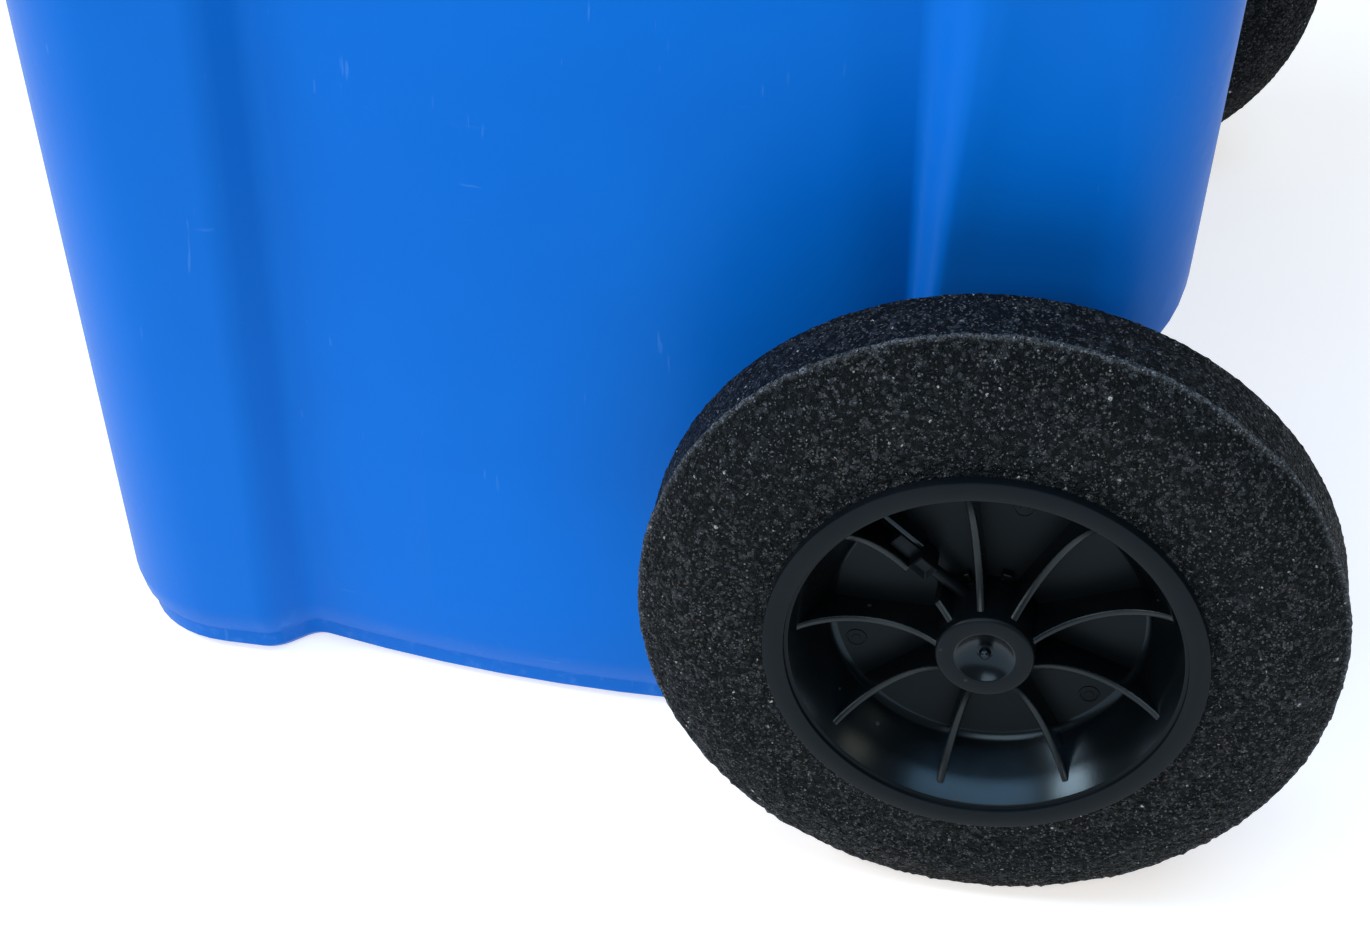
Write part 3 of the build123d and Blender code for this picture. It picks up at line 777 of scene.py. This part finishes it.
@dataclass
class Hub:
    """Moulded hub: a flat flange ring, a glossy bowl with nine ribs, and a dished boss."""

    place: WheelPlace
    steps: int = 192
    flange_r: float = 62 * MM
    flange: float = 3.5 * MM
    drum_r: float = 56 * MM
    groove_r: float = 55 * MM
    groove: float = 1.5 * MM
    bowl: float = 21 * MM
    web_r: float = 44.5 * MM
    web: float = 3.5 * MM
    web_step: float = 5.5 * MM
    bowl_middle: Point = (-10 * MM, 51 * MM)
    bowl_root: tuple[Point, ...] = ((-21 * MM, 43.2 * MM), (-20.4 * MM, 44.7 * MM), (-19 * MM, 46.1 * MM))
    boss_r: float = 13.8 * MM
    boss_x: float = -2 * MM
    dish_r: float = 8.6 * MM
    boss_edge: float = 0.7 * MM
    boss_draft: float = 0.6 * MM
    dish: float = 3.1 * MM
    dish_bend: Point = (0.9 * MM, 0.62)
    dish_steps: int = 12
    width: float = 50 * MM
    inner_flange_r: float = 60 * MM
    tail_x: float = -54 * MM
    tail_draft: float = 1 * MM
    bore_r: float = 10.05 * MM
    bore_end: float = -9.2 * MM
    rib_count: int = 9
    rib_phase: float = 20.5
    rib: float = 2.3 * MM
    rib_line: tuple[Point, ...] = ((-4.5 * MM, 12.8 * MM), (-12.5 * MM, 33 * MM), (-5.4 * MM, 53.3 * MM))
    rib_step: float = 2.2 * MM
    rib_round: float = 0.75 * MM
    rib_foot: float = 9 * MM
    sink: float = 1 * MM
    latch_rib: int = 3
    latch_gap: Pair = (19.3 * MM, 30.5 * MM)
    latch_offset: float = -4 * MM
    guide_size: Triple = (7.5 * MM, 18 * MM, 1.5 * MM)
    guide_middle_r: float = 41.5 * MM
    guide_gap: float = 3.55 * MM
    guide_sunk: float = 1 * MM
    ejector_degrees: Triple = (-39.0, 81.0, 201.0)
    ejector_r: float = 39.5 * MM
    ejector_mm: tuple[Point, ...] = ((0.0, 3.1), (0.25, 3.0), (0.25, 2.5), (0.05, 2.4), (0.05, 1.3), (0.2, 1.2),
                                     (0.2, 0.0))
    lug_degrees: Pair = (119.5, 76.6)
    lug_size: Triple = (2.6 * MM, 2.6 * MM, 3.4 * MM)
    lug_r: float = 16.2 * MM
    lug_rise: float = 1.2 * MM
    nub_mm: tuple[Point, ...] = ((-0.4, 2.6), (0.15, 2.5), (0.5, 1.75), (2.1, 1.35), (2.5, 0.8), (2.3, 0.0))
    small_steps: int = 32
    edge: float = 0.35 * MM
    sharp_turn: float = 32.0
    web_rise: float = 0.3 * MM

    def profile(self) -> list[Point]:
        """The hub's section, from the middle of the dish round to the bore."""
        dish_x, back_x, step_x = self.boss_x - self.dish, self.flange - self.width, -self.bowl - self.web_step
        rise, share = self.dish_bend
        dish = arc((dish_x, 0.0), (dish_x + rise, self.dish_r * share), (self.boss_x, self.dish_r), self.dish_steps)
        bowl = [*arc(*self.bowl_root, 6), self.bowl_middle, (-self.groove, self.groove_r)]
        wall_r, tail_r = self.drum_r - self.web, self.boss_r + 2 * MM
        return [*dish, (self.boss_x, self.boss_r - self.boss_edge), (self.boss_x - self.boss_edge, self.boss_r),
                (-self.bowl, self.boss_r + self.boss_draft), *bowl, (-self.groove, self.drum_r), (0.0, self.drum_r),
                (0.0, self.flange_r), (-self.flange, self.flange_r), (-self.flange, self.drum_r),
                (back_x, self.drum_r), (back_x, self.inner_flange_r), (-self.width, self.inner_flange_r),
                (-self.width, wall_r), (step_x, wall_r), (step_x, self.web_r + 2 * MM),
                (-self.bowl - self.web, self.web_r - 1 * MM), (-self.bowl - self.web, tail_r + self.tail_draft),
                (self.tail_x, tail_r), (self.tail_x, self.bore_r), (self.bore_end, self.bore_r),
                (self.bore_end, 0.0)]

    def rib_degrees(self, index: int) -> float:
        """Angle of a rib round the axis."""
        return self.rib_phase + index * 360 / self.rib_count

    def rib_top(self, radius: float) -> float:
        """Depth of a rib's free edge at a radius."""
        points = arc(*self.rib_line, 40)
        for (ax, ar), (bx, br) in zip(points, points[1:]):
            if ar <= radius <= br:
                return ax + (bx - ax) * (radius - ar) / (br - ar)
        return points[-1][0]

    def rib_piece(self, bm: bmesh.types.BMesh, start: float, end: float, degrees: float) -> None:
        """Adds one length of rib.

        Args:
            bm: The hub's mesh.
            start: Radius where it starts.
            end: Radius where it ends.
            degrees: Its angle round the axis.
        """
        count = max(3, round((end - start) / self.rib_step))
        top = [(self.rib_top(start + (end - start) * k / count), start + (end - start) * k / count)
               for k in range(count + 1)]
        foot = -self.bowl - self.sink
        root = [(max(foot, top[-1][0] - self.rib_foot), end - 0.4 * MM), (foot, min(end, self.web_r - self.sink)),
                (foot, start)]
        part = bmesh.new()
        slab(part, [*top, *root], self.rib)
        bmesh.ops.recalc_face_normals(part, faces=part.faces)
        upper = {(round(x, 6), round(r, 6)) for x, r in top}
        picked = [edge for edge in part.edges
                  if all((round(v.co.x, 6), round(v.co.y, 6)) in upper for v in edge.verts)]
        round_edges(part, picked, self.rib_round, 3)
        for face in part.faces:
            centre = face.calc_center_median()
            is_top = centre.x > self.rib_top(centre.y) - 0.5 * MM and abs(centre.z) < self.rib / 2 - 0.05 * MM
            # Rib top faces take the third, lighter black: a painted highlight along the rib tops.
            face.material_index = 2 if is_top else 0
        self.join(bm, part, degrees)

    @staticmethod
    def join(bm: bmesh.types.BMesh, part: bmesh.types.BMesh, degrees: float = 0.0) -> None:
        """Turns a part about the wheel's axis, adds its mesh to another, and frees it.

        Args:
            bm: The mesh it is added to.
            part: The part's mesh.
            degrees: How far it is turned.
        """
        if degrees:
            spin_verts(part, degrees)
        held = bpy.data.meshes.new("held")
        part.to_mesh(held)
        part.free()
        bm.from_mesh(held)
        bpy.data.meshes.remove(held)

    def add_ribs(self, bm: bmesh.types.BMesh) -> None:
        """Adds the nine ribs; the latch's is in two lengths."""
        start, end = self.boss_r - self.sink, self.rib_line[-1][1]
        for index in range(self.rib_count):
            degrees = self.rib_degrees(index)
            if index == self.latch_rib:
                self.rib_piece(bm, start, self.latch_gap[0], degrees)
                self.rib_piece(bm, self.latch_gap[1], end, degrees)
            else:
                self.rib_piece(bm, start, end, degrees)

    def add_guide(self, bm: bmesh.types.BMesh) -> None:
        """Adds the wall that the latch slides along."""
        part = bmesh.new()
        middle_x = self.guide_size[0] / 2 - self.guide_sunk - self.bowl
        block(part, self.guide_size, (middle_x, self.guide_middle_r, self.latch_offset - self.guide_gap))
        round_edges(part, list(part.edges), 0.3 * MM)
        self.join(bm, part, self.rib_degrees(self.latch_rib))

    def add_marks(self, bm: bmesh.types.BMesh) -> None:
        """Adds the moulding's small marks: ejector rings on the web, and two lugs at the boss's foot."""
        for degrees in self.ejector_degrees:
            part = bmesh.new()
            turned(part, [(x * MM, r * MM) for x, r in self.ejector_mm], self.small_steps)
            for face in part.faces:
                face.material_index = 1
            bmesh.ops.translate(part, vec=(-self.bowl, self.ejector_r, 0), verts=part.verts)
            self.join(bm, part, degrees)
        for degrees in self.lug_degrees:
            part = bmesh.new()
            block(part, self.lug_size, (-self.bowl + self.lug_rise, self.lug_r, 0))
            round_edges(part, list(part.edges), 0.4 * MM)
            self.join(bm, part, degrees)

    def add_nub(self, bm: bmesh.types.BMesh) -> None:
        """Adds the tapered nub in the middle of the dish."""
        base = self.boss_x - self.dish
        part = bmesh.new()
        turned(part, [(base + x * MM, r * MM) for x, r in self.nub_mm], self.small_steps)
        self.join(bm, part)

    def build(self, finishes: Finishes) -> bpy.types.Object:
        """The hub's object."""
        bm = bmesh.new()
        turned(bm, self.profile(), self.steps)
        round_edges(bm, sharp(bm, math.radians(self.sharp_turn)), self.edge)
        satin_r = self.groove_r - 0.2 * MM
        for face in bm.faces:
            centre = face.calc_center_median()
            radius = math.hypot(centre.y, centre.z)
            in_bowl = radius < satin_r and centre.x > -self.bowl - 0.5 * MM
            on_web = in_bowl and radius < self.web_r - self.sink and centre.x < self.web_rise - self.bowl
            is_gloss = (in_bowl and radius > self.boss_r) or radius < self.dish_r
            face.material_index = 0 if is_gloss and not on_web else 1
        self.add_ribs(bm)
        self.add_guide(bm)
        self.add_marks(bm)
        self.add_nub(bm)
        bmesh.ops.transform(bm, matrix=self.place.matrix, verts=bm.verts)
        hand = self.place.side.hand
        looks = [finishes.gloss, finishes.satin, finishes.worn]
        return piece(bm, f"ribbed_hub_{hand}", looks, f"wheel_{hand}", [f"wheel_hub_{hand}"],
                     soft_angle=math.radians(40))


@dataclass
class Latch:
    """The plunger that holds the hub on the axle: a grooved block, a bar and a round pin."""

    place: WheelPlace
    degrees: float = Hub.rib_phase + Hub.latch_rib * 360 / Hub.rib_count
    offset: float = Hub.latch_offset
    floor_x: float = -20 * MM
    width: float = 5.2 * MM
    block_start: float = 25.5 * MM
    block_end: float = 32 * MM
    block_height: float = 8.5 * MM
    bar_end: float = 39.6 * MM
    bar_height: float = 5.6 * MM
    pin_x: float = -15 * MM
    pin_r: float = 1.75 * MM
    pin_tip: float = 5.9 * MM
    pin_edge: float = 0.4 * MM
    pin_hold: float = 1 * MM
    pin_steps: int = 32
    edge: float = 0.35 * MM
    grip_rim: float = 1.2 * MM
    grip_depth: float = 1.6 * MM

    def build(self, finishes: Finishes) -> bpy.types.Object:
        """The latch's object."""
        bm = bmesh.new()
        middle = (self.block_start + self.block_end) / 2
        length = self.block_end - self.block_start
        head = block(bm, (self.block_height, length, self.width),
                     (self.floor_x + self.block_height / 2, middle, self.offset))
        self.dish_top(bm, head)
        bar = self.bar_end - self.block_end + 2 * MM
        block(bm, (self.bar_height, bar, self.width - 0.4 * MM),
              (self.floor_x + self.bar_height / 2, self.bar_end - bar / 2, self.offset))
        round_edges(bm, sharp(bm, math.radians(50)), self.edge)
        part = bmesh.new()
        end = self.block_start + self.pin_hold - self.pin_tip
        turned(part, [(0.0, 0.0), (0.0, self.pin_r - self.pin_edge), (self.pin_edge, self.pin_r), (end, self.pin_r),
                      (end, 0.0)], self.pin_steps)
        along = Matrix.Translation((self.pin_x, self.pin_tip, self.offset)) @ Matrix.Rotation(math.pi / 2, 4, "Z")
        bmesh.ops.transform(part, matrix=along, verts=part.verts)
        Hub.join(bm, part)
        spin_verts(bm, self.degrees)
        bmesh.ops.transform(bm, matrix=self.place.matrix, verts=bm.verts)
        hand = self.place.side.hand
        return piece(bm, f"plunger_{hand}", [finishes.satin], f"latch_{hand}",
                     [f"axle_latch_{hand}"], soft_angle=math.radians(35))

    def dish_top(self, bm: bmesh.types.BMesh, verts: Sequence[bmesh.types.BMVert]) -> None:
        """Sinks the middle of the block's top, which leaves a thumb grip.

        Args:
            bm: The latch's mesh.
            verts: The block's vertices.
        """
        faces = {face for vert in verts for face in vert.link_faces}
        top = max(faces, key=lambda face: face.calc_center_median().x)
        bmesh.ops.inset_region(bm, faces=[top], thickness=self.grip_rim, use_even_offset=True)
        bmesh.ops.translate(bm, vec=(-self.grip_depth, 0, 0), verts=list(top.verts))


@dataclass
class Wheels:
    """Both wheels, with their latches, the axle and its spacer sleeves."""

    finishes: Finishes

    def build(self) -> None:
        """Builds each wheel, then dresses what is kept of the CAD."""
        for side in Side:
            place = WheelPlace(side)
            Tyre(place).build(self.finishes)
            Hub(place).build(self.finishes)
            Latch(place).build(self.finishes)
            dress(f"spacer_sleeve_{side.hand}", self.finishes.satin)
        dress("axle", self.finishes.zinc)


# ------------------------------------------------------------------ tub and lid


@dataclass
class Moulding:
    """A blue moulding: the CAD's shape with every hard edge eased, as a mould leaves it."""

    node: str
    name: str
    body: str
    ease: float
    least_turn: float = 28.0
    flat_turn: float = 0.6
    soft_turn: float = 32.0
    gap: float = 0.02 * MM

    def build(self, finishes: Finishes) -> bpy.types.Object:
        """The moulding's object."""
        bm = bmesh.new()
        bm.from_mesh(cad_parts[self.node].data)
        bmesh.ops.remove_doubles(bm, verts=bm.verts, dist=self.gap)
        bmesh.ops.dissolve_limit(bm, angle_limit=math.radians(self.flat_turn), use_dissolve_boundaries=False,
                                 verts=list(bm.verts), edges=list(bm.edges), delimit={"NORMAL"})
        round_edges(bm, sharp(bm, math.radians(self.least_turn)), self.ease)
        bmesh.ops.dissolve_degenerate(bm, dist=self.gap, edges=list(bm.edges))
        for face in bm.faces:
            face.material_index = 0
        return piece(bm, self.name, [finishes.blue], self.body, [self.node],
                     soft_angle=math.radians(self.soft_turn))


@dataclass
class Shell:
    """The blue mouldings, and the pins that join them."""

    finishes: Finishes

    def build(self) -> None:
        """Builds the mouldings, then dresses the pins."""
        Moulding("body", "moulded_tub", "tub", 0.9 * MM).build(self.finishes)
        Moulding("lid", "moulded_lid", "lid", 0.7 * MM).build(self.finishes)
        for side in Side:
            dress(f"hinge_pin_{side.hand}", self.finishes.satin)


# ------------------------------------------------------------------ studio


@dataclass
class Softbox:
    """One rectangular studio light."""

    name: str
    place: Triple
    aim: Triple
    size: Pair
    watts: float
    colour: Colour = (1.0, 1.0, 1.0)

    def build(self) -> None:
        """Adds the light."""
        data = bpy.data.lights.new(self.name, "AREA")
        data.shape = "RECTANGLE"
        data.size, data.size_y = self.size
        data.energy = self.watts
        data.color = self.colour
        made = bpy.data.objects.new(self.name, data)
        made.location = self.place
        made.rotation_euler = (Vector(self.aim) - Vector(self.place)).to_track_quat("-Z", "Y").to_euler()
        bpy.context.scene.collection.objects.link(made)


@dataclass
class Studio:
    """Floor, lights, surrounding light and camera."""

    finishes: Finishes
    floor_half: float = 40.0
    sky: Colour = (0.93, 0.965, 1.0)
    sky_strength: float = 0.26
    lens: float = 78.83
    sensor: float = 36.0
    offset: Triple = (0.63422, 0.00123, 0.54329)
    right: Triple = (-0.15436551, 0.98767524, 0.02586319)
    forward: Triple = (-0.78656534, -0.10700834, -0.6081646)

    def build(self) -> None:
        """Builds the whole stage."""
        self.add_floor()
        self.add_sky()
        for light in (
            Softbox("key", place=(0.9, -2.65, 2.2), aim=(0.2, 0.0, 0.3), size=(0.95, 0.95), watts=58.0,
                    colour=(0.97, 0.985, 1.0)),
            Softbox("side", place=(2.4, -0.7, 1.9), aim=(0.1, 0.0, 0.35), size=(1.7, 1.5), watts=35.0),
            Softbox("overhead", place=(0.85, 0.05, 3.7), aim=(0.85, 0.35, 0.0), size=(2.1, 4.6), watts=150.0,
                    colour=(0.52, 0.76, 1.0)),
            Softbox("fill", place=(0.7, 3.0, 1.6), aim=(0.15, 0.1, 0.3), size=(0.8, 0.8), watts=6.0,
                    colour=(1.0, 0.76, 0.54)),
        ):
            light.build()
        self.add_camera()
        view = bpy.context.scene.view_settings
        view.view_transform = "Standard"
        view.look = "None"

    def add_floor(self) -> None:
        """A wide flat floor."""
        bm = bmesh.new()
        bmesh.ops.create_grid(bm, x_segments=1, y_segments=1, size=self.floor_half)
        mesh = bpy.data.meshes.new("floor")
        bm.to_mesh(mesh)
        bm.free()
        mesh.materials.append(self.finishes.floor)
        made = bpy.data.objects.new("floor", mesh)
        bpy.context.scene.collection.objects.link(made)

    def add_sky(self) -> None:
        """Even light from all round."""
        world = bpy.data.worlds.new("studio")
        world.use_nodes = True
        surface = world.node_tree.nodes["Background"]
        surface.inputs["Color"].default_value = (*self.sky, 1.0)
        surface.inputs["Strength"].default_value = self.sky_strength
        bpy.context.scene.world = world

    def add_camera(self) -> None:
        """The camera, set out from the face of the right wheel's hub."""
        data = bpy.data.cameras.new("camera")
        data.lens = self.lens
        data.sensor_width = self.sensor
        data.clip_start = 0.01
        data.clip_end = 100.0
        made = bpy.data.objects.new("camera", data)
        right, forward = Vector(self.right).normalized(), Vector(self.forward).normalized()
        up = right.cross(forward)
        turn = Matrix((right, up, -forward)).transposed().to_4x4()
        hub = WheelPlace(Side.RIGHT).matrix.translation
        made.matrix_world = Matrix.Translation(hub + Vector(self.offset)) @ turn
        bpy.context.scene.collection.objects.link(made)
        bpy.context.scene.camera = made


def main() -> None:
    """Builds the bin and its stage."""
    logging.basicConfig(level=logging.INFO, format="%(message)s")
    finishes = Finishes()
    Studio(finishes).build()
    Wheels(finishes).build()
    Shell(finishes).build()


if __name__ == "__main__":
    main()
